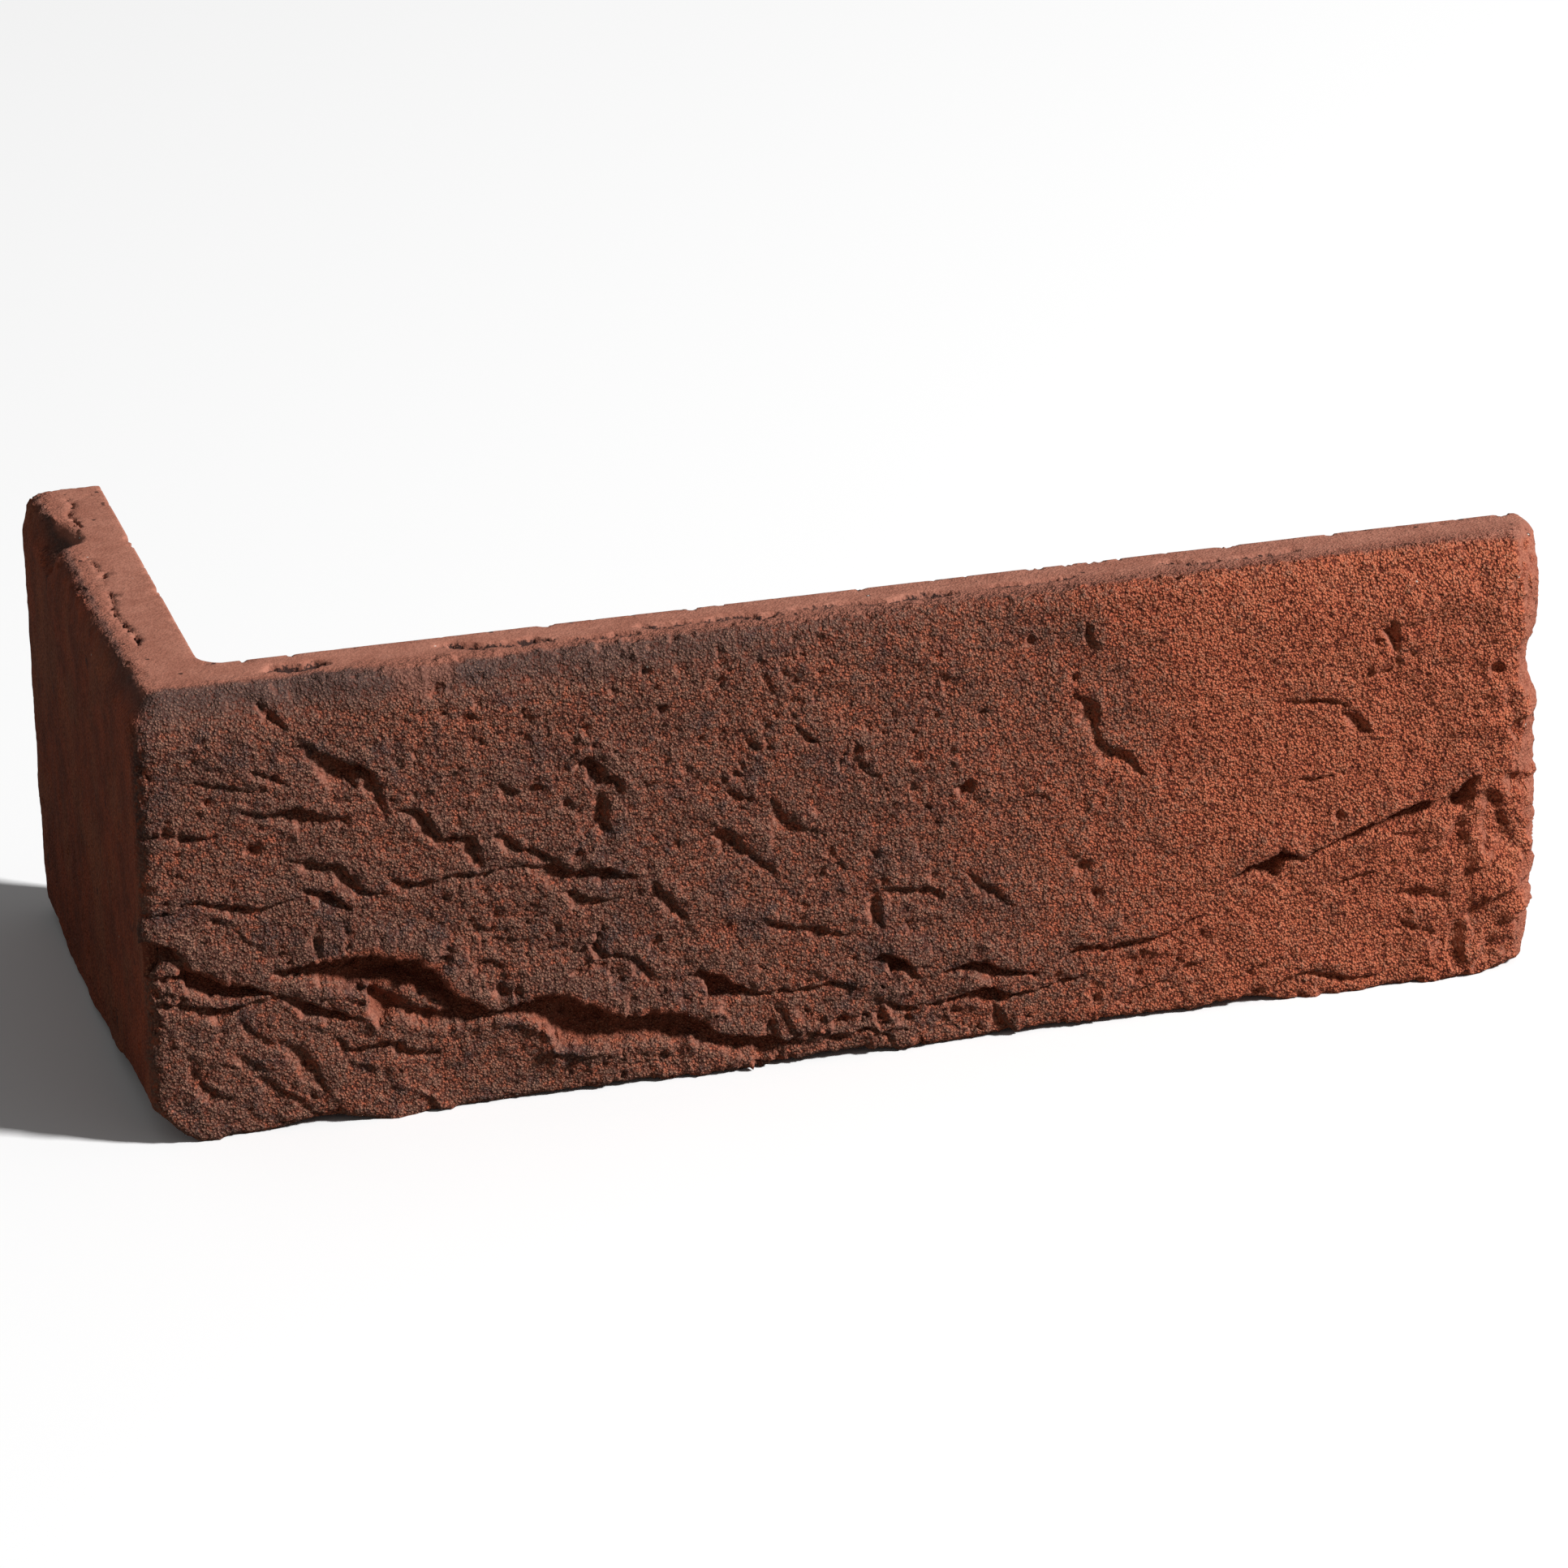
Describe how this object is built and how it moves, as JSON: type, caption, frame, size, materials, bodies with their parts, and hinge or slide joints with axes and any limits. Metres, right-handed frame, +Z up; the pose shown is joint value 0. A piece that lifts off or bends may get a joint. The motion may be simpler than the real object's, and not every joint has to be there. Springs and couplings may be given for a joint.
{
  "type": "corner brick slip",
  "caption": "L-shaped concrete corner brick slip with a torn, folded hand-moulded face, bonded over the outside corner of a wall so that it reads as a whole brick.",
  "frame": {"origin": "middle of the unit's box, on the bed it stands on", "axes": "+X along the long leg away from the corner, +Y from the weathered face into the wall, +Z up from the bed"},
  "size_m": [0.2, 0.095, 0.065],
  "materials": {
    "concrete": "rough moulded, dry and matt"
  },
  "bodies": {
    "root": {"corner_slip": "concrete"}
  },
  "joints": []
}
